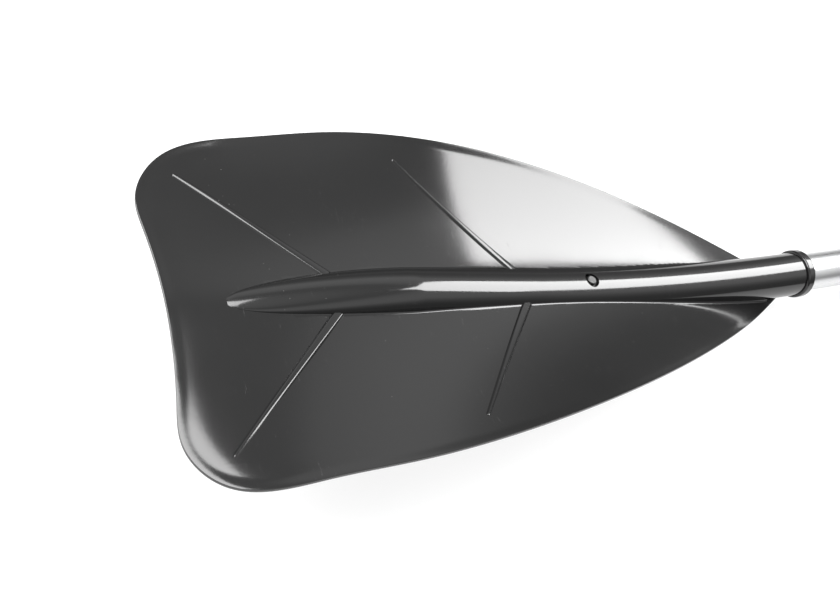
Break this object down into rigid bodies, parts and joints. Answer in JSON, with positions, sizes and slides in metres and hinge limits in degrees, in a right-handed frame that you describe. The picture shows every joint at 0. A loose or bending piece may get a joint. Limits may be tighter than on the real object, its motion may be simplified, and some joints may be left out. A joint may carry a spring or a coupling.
{
  "type": "rowing oar",
  "caption": "Take-apart rowing oar: spooned moulded blade with spine, ribs and snap button on an aluminium tube shaft, with oarlock sleeve, stop ring, drip ring and hand grip.",
  "frame": {"origin": "centre of the oarlock sleeve's bearing length, on the axis of the straight shaft", "axes": "X along the straight shaft, +X to the hand grip and -X to the blade; Z square to the blade, +Z on the side with the raised spine; Y across the blade"},
  "size_m": [1.4691, 0.205, 0.1018],
  "materials": {
    "blade_plastic": "gloss black moulded",
    "ring_plastic": "black",
    "tube_aluminium": "satin anodised",
    "button_steel": "bright stainless",
    "spring_steel": "spring steel",
    "rivet_aluminium": "plain",
    "rubber": "matt",
    "sleeve_plastic": "satin black",
    "float_foam": "closed-cell foam"
  },
  "bodies": {
    "oar": {"blade": "blade_plastic", "socket_ring": "ring_plastic", "lower_shaft": "tube_aluminium", "lower_shaft_plug": "rubber", "blade_button_spring": "spring_steel", "lower_float_plug": "float_foam", "joint_ferrule": "tube_aluminium", "ferrule_rivets": "rivet_aluminium", "joint_button_spring": "spring_steel", "joint_collar": "sleeve_plastic", "upper_shaft": "tube_aluminium", "oarlock_sleeve": "sleeve_plastic", "sleeve_rivets": "rivet_aluminium", "upper_float_plug": "float_foam", "grip": "rubber", "grip_end_cap": "sleeve_plastic"},
    "blade_button": {"blade_button": "button_steel"},
    "joint_button": {"joint_button": "button_steel"},
    "drip_ring": {"drip_ring": "rubber"},
    "stop_ring": {"stop_ring": "sleeve_plastic"}
  },
  "joints": [
    {"name": "blade_button_press", "type": "slide", "parent": "oar", "child": "blade_button", "axis": [-0.1713, 0, -0.9852], "range_m": [0, 0.0026], "stiffness_N_per_m": 3000, "deforming": ["blade_button_spring"]},
    {"name": "joint_button_press", "type": "slide", "parent": "oar", "child": "joint_button", "axis": [0, 0, -1], "range_m": [0, 0.0038], "stiffness_N_per_m": 3000, "deforming": ["joint_button_spring"]},
    {"name": "drip_ring_slide", "type": "slide", "parent": "oar", "child": "drip_ring", "axis": [1, 0, 0], "range_m": [-0.1, 0.085]},
    {"name": "stop_ring_slide", "type": "slide", "parent": "oar", "child": "stop_ring", "axis": [1, 0, 0], "range_m": [-0.15, 0.03]}
  ]
}
